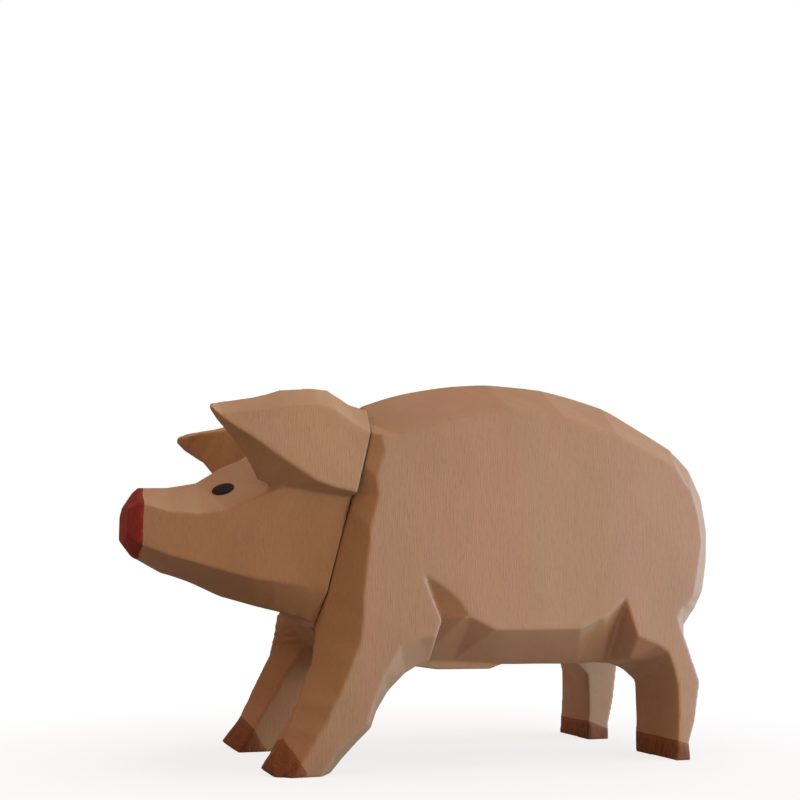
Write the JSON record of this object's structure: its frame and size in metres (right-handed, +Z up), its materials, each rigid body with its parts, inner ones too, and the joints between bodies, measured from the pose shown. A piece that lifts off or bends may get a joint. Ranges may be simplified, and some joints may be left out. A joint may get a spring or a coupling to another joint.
{
  "type": "pig figurine",
  "caption": "Hand-carved wooden pig, sawn from a board and faceted with a knife, with a painted snout, painted eyes and stained hooves",
  "frame": {"origin": "the middle of the footprint of the whole pig, on the plane that its feet stand on", "axes": "the pig looks along -Y, its left side is +X and up is +Z"},
  "size_m": [0.0564, 0.1292, 0.0791],
  "materials": {
    "carved_wood": "fine-grained pinkish-tan hardwood, knife-cut facets, lightly oiled",
    "dowel_wood": "plain beech, fluted and glued in",
    "red_paint": "thin dark red water paint with the wood's grain under it",
    "black_paint": "black paint, slightly glossy",
    "brown_stain": "brown water stain that lets the grain show"
  },
  "bodies": {
    "root": {"body": "carved_wood", "head": "carved_wood", "neck_dowel": "dowel_wood", "snout_paint": "red_paint", "eye_left": "black_paint", "eye_right": "black_paint", "hoof_stain_front_left": "brown_stain", "hoof_stain_front_right": "brown_stain", "hoof_stain_rear_left": "brown_stain", "hoof_stain_rear_right": "brown_stain"}
  },
  "joints": []
}
